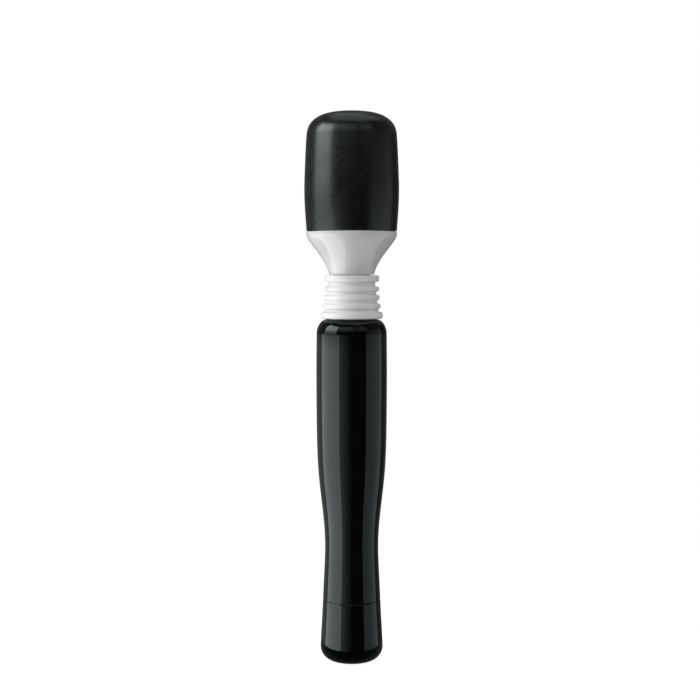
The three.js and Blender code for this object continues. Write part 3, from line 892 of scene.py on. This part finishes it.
def curtain(name, levels, outline):
    """A curved screen of light round the wand, which the camera doesn't see directly.

    levels gives its radiance at azimuths in degrees: 0 is the camera's side, and 90 its right. outline
    is its upright section, as points (radius, height, share of the radiance). Near the wand its edges
    draw in, so that their mirror images in the dial are straight.
    """
    azimuths, radiances = np.array(levels, float).T
    turns = np.union1d(azimuths, np.arange(azimuths[0], azimuths[-1], SCREEN_STEP))
    solid = bmesh.new()
    radiance = solid.verts.layers.float.new("radiance")
    columns = []
    for turn, level in zip(np.radians(turns), np.interp(turns, azimuths, radiances)):
        column = []
        for reach, z, share in outline:
            drawn_in = turn - math.asin(MIRROR * math.sin(turn / 2) / reach)
            vert = solid.verts.new((reach * math.sin(drawn_in), -reach * math.cos(drawn_in), z))
            vert[radiance] = level * share
            column.append(vert)
        columns.append(column)
    for first, second in zip(columns, columns[1:]):
        for k in range(len(outline) - 1):
            solid.faces.new([first[k], first[k + 1], second[k + 1], second[k]])
    screen = finished(name, solid)
    screen.visible_camera = False
    screen.visible_shadow = False
    glow = bpy.data.materials.new(name)
    glow.use_nodes = True
    nodes, links = glow.node_tree.nodes, glow.node_tree.links
    nodes.clear()
    level = nodes.new("ShaderNodeAttribute")
    level.attribute_name = "radiance"
    emission = nodes.new("ShaderNodeEmission")
    links.new(level.outputs["Fac"], emission.inputs["Strength"])
    links.new(emission.outputs[0], nodes.new("ShaderNodeOutputMaterial").inputs[0])
    screen.data.materials.append(glow)


AIM = Vector((0, 0, 0.15))
LAMP_DISTANCE = 0.9


def lamp(name, azimuth, elevation, size, radiance, glossy=True):
    """A square area light, aimed at the wand from an azimuth and an elevation in degrees.

    One that isn't glossy lights the surfaces but doesn't show in their reflections.
    """
    light = bpy.data.lights.new(name, "AREA")
    light.shape = "SQUARE"
    light.size = size
    light.energy = 4 * radiance * size * size  # the watts that give this radiance
    panel = bpy.data.objects.new(name, light)
    a, e = math.radians(azimuth), math.radians(elevation)
    direction = Vector((math.sin(a) * math.cos(e), -math.cos(a) * math.cos(e), math.sin(e)))
    panel.location = AIM + direction * LAMP_DISTANCE
    panel.rotation_euler = direction.to_track_quat("Z", "Y").to_euler()
    panel.visible_camera = False
    panel.visible_glossy = glossy
    bpy.context.scene.collection.objects.link(panel)


# The pale bands on the handle are mirror images of the left and right screens, which reach in almost
# to the foot, so that only its round corner stays dark. The upper left and front screens give the
# highlights of the head and of the handle's shoulder. The washes light the white pieces.
backdrop()
surroundings()
curtain(
    "left_screen",
    [(-165, 0.12), (-114.4, 0.4), (-114, 2.25), (-41.6, 1.85), (-41.2, 0.58), (-22, 0.26), (0, 0)],
    [(0.027, 0.003, 1), (0.35, 0.003, 1), (0.35, 0.105, 1), (0.35, 0.135, 0)],
)
curtain(
    "upper_left_screen",
    [(-104, 0), (-98, 3.6), (-56, 3.4), (-49, 0)],
    [(0.9, 0.1, 0.2), (0.9, 0.34, 0.42), (0.9, 0.46, 1), (0.9, 0.84, 1), (0.9, 1, 0.2)],
)
curtain(
    "right_screen",
    [(47.6, 0), (48, 0.42), (75, 0.48), (113, 0.7), (114, 0.08), (150, 0.08)],
    [(0.027, 0.003, 1), (0.35, 0.003, 1), (0.35, 0.105, 1), (0.35, 0.135, 0.48), (0.35, 0.26, 0.26)],
)
curtain(
    "front_screen",
    [(-50, 0.6), (-20, 0.5), (0, 0.42), (12, 0.2), (28, 0.2), (34, 0.35), (50, 0.35), (64, 0)],
    [(0.95, 0.36, 0), (0.95, 0.6, 1), (0.95, 0.95, 1), (0.95, 1.2, 0.4)],
)
lamp("top_light", 160, 84, 1.0, 0.35)
lamp("left_wash", -95, 15, 0.6, 1.1, glossy=False)
lamp("right_wash", 95, 15, 0.6, 0.9, glossy=False)
lamp("front_wash", 5, 28, 0.6, 0.75, glossy=False)
bpy.context.scene.view_settings.view_transform = "Standard"
